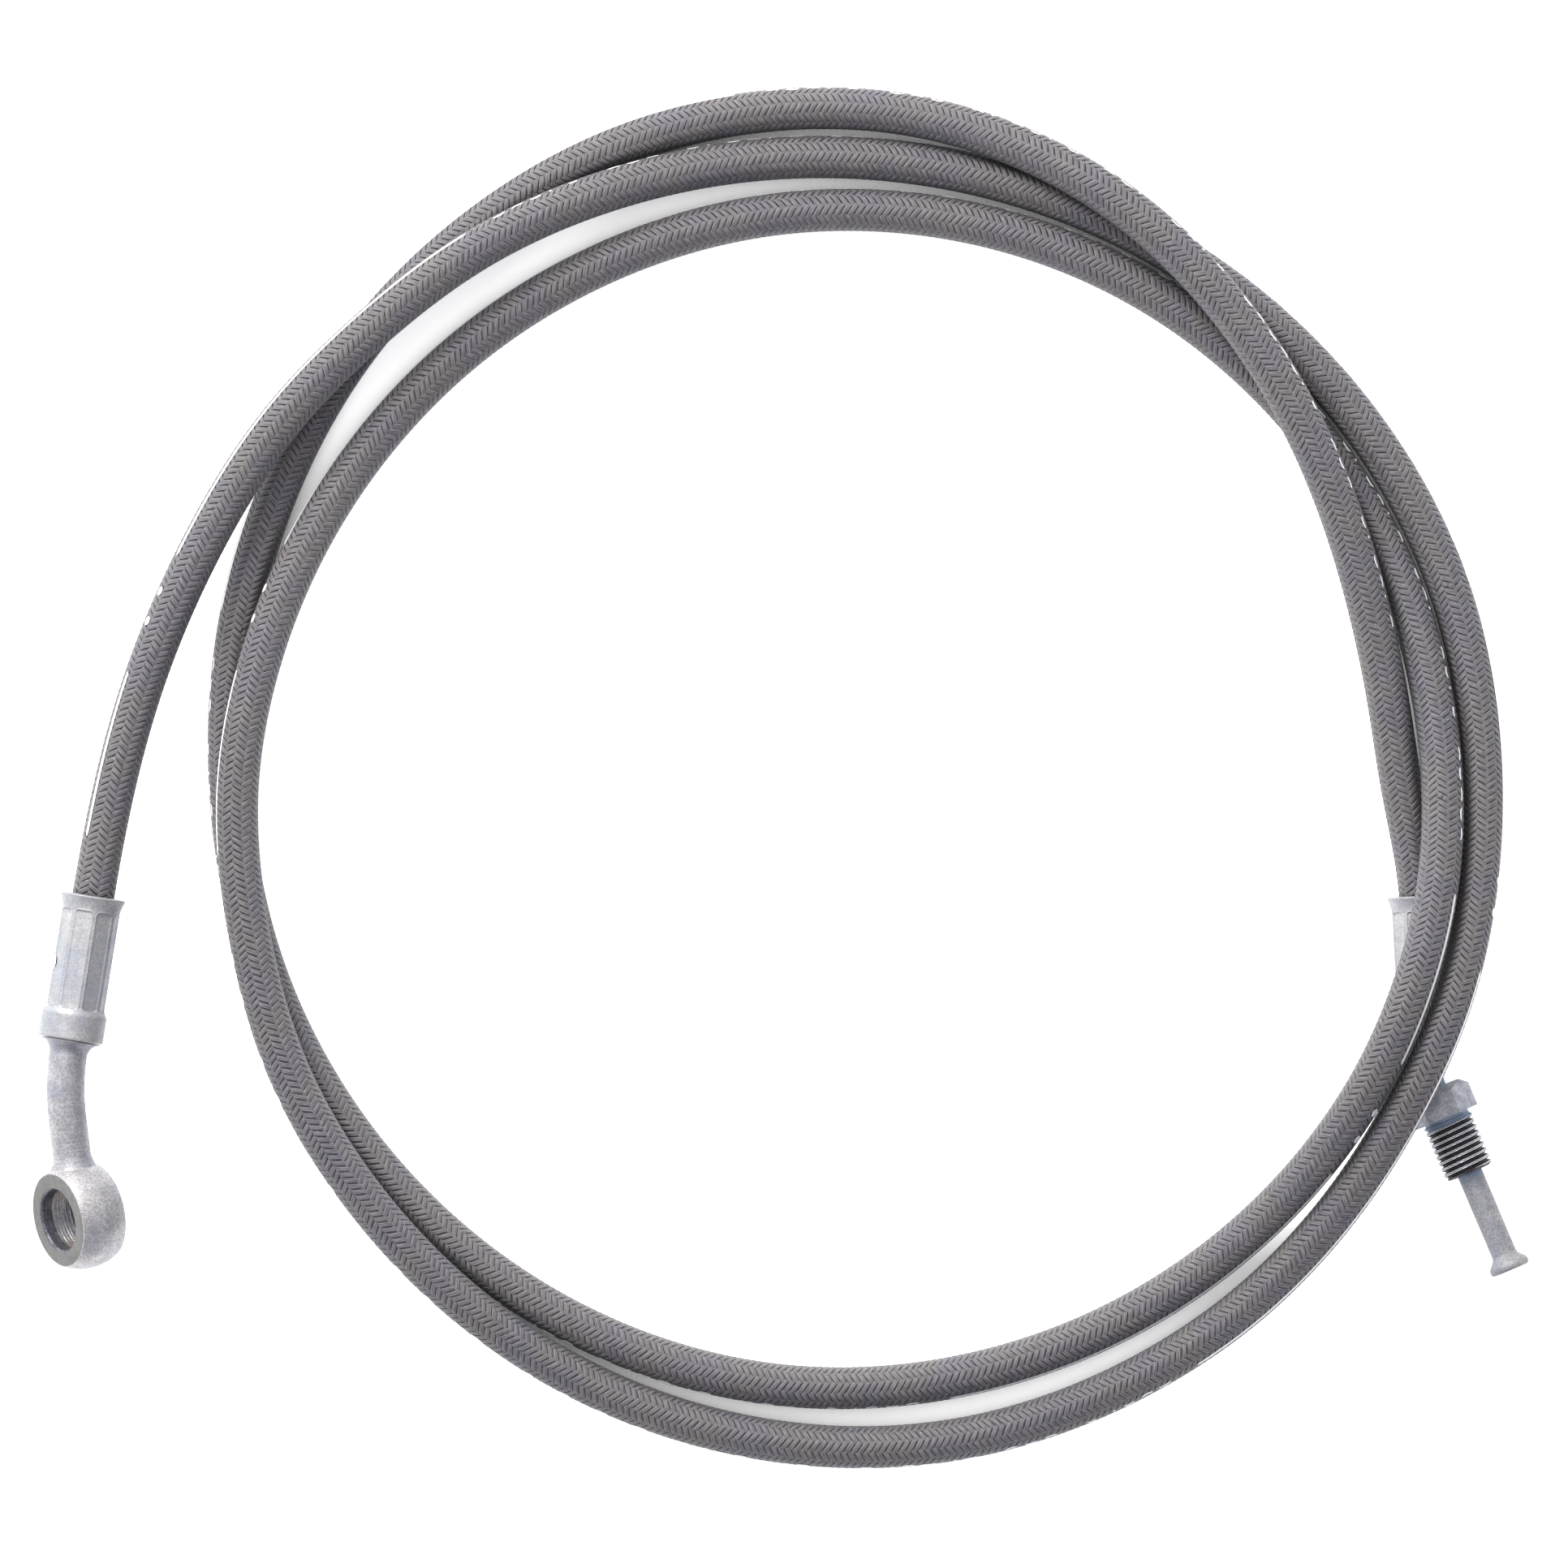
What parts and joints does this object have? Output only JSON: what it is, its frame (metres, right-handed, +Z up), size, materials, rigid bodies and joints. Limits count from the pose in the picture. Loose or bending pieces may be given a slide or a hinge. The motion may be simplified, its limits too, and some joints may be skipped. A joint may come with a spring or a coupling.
{
  "type": "hydraulic hose assembly",
  "caption": "Textile-braided hydraulic hose laid in a flat coil, with a crimped bent banjo eye on one end and a crimped steel tube with a loose flare nut on the other.",
  "frame": {"origin": "on the surface that the coil lies on, below the middle of the assembly's box", "axes": "+Z up from the surface; +Y towards the back of the coil, away from both fittings; the banjo end is at -X and the tube end at +X"},
  "size_m": [0.354, 0.3242, 0.0298],
  "materials": {
    "liner": "smooth black inner tube",
    "inner_braid": "plain cord reinforcement",
    "rubber": "black rubber between the braids",
    "cover_braid": "grey textile braid with a white printed lay line",
    "fitting_steel": "satin zinc plate over fine turning marks",
    "ferrule_steel": "satin zinc plate with pressed crimp flats",
    "tube_steel": "zinc plated drawn steel tube",
    "nut_steel": "bluish zinc plate, dark in the thread roots",
    "braze": "dull brazing alloy under zinc"
  },
  "bodies": {
    "hose": {"hose_liner": "liner", "hose_inner_braid": "inner_braid", "hose_rubber_layer": "rubber", "hose_cover_braid": "cover_braid", "banjo_fitting": "fitting_steel", "banjo_ferrule": "ferrule_steel", "tube_ferrule": "ferrule_steel", "hose_insert": "fitting_steel", "braze_ring": "braze", "end_tube": "tube_steel"},
    "nut": {"tube_nut": "nut_steel"}
  },
  "joints": [
    {"name": "nut_slide", "type": "slide", "parent": "hose", "child": "nut", "axis": [0.3907, -0.9205, 0], "range_m": [0, 0.0215]}
  ]
}
